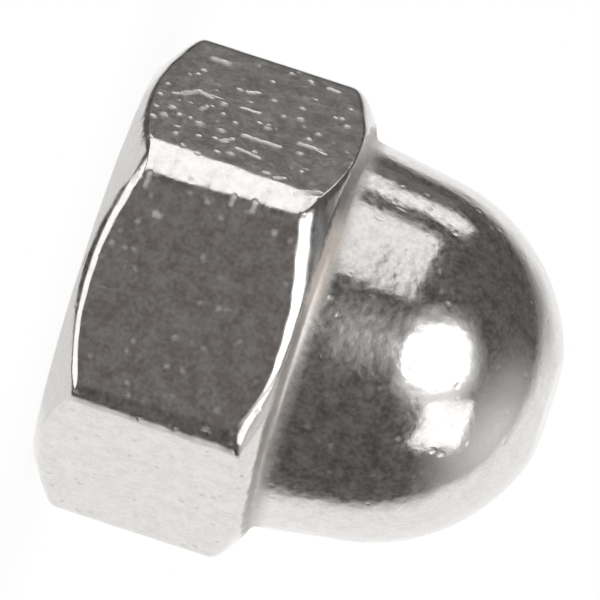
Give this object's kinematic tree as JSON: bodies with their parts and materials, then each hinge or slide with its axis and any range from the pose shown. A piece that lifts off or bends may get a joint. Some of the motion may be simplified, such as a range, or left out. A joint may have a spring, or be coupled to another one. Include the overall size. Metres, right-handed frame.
{
  "type": "cap nut",
  "caption": "Low-crown cap nut: a chamfered hexagon under a drafted skirt and a domed, closed crown, with a blind tapped hole that covers the end of a screw.",
  "frame": {"origin": "Centre of the bearing face, at the open end, on the thread axis. The nut stands on this face.", "axes": "+Z runs along the thread axis to the crown. -Y and +Y are square to two opposite flats. X runs across corners."},
  "size_m": [0.0108, 0.0096, 0.0105],
  "materials": {
    "bright_metal": "polished"
  },
  "bodies": {
    "root": {"cap_nut": "bright_metal"}
  },
  "joints": []
}
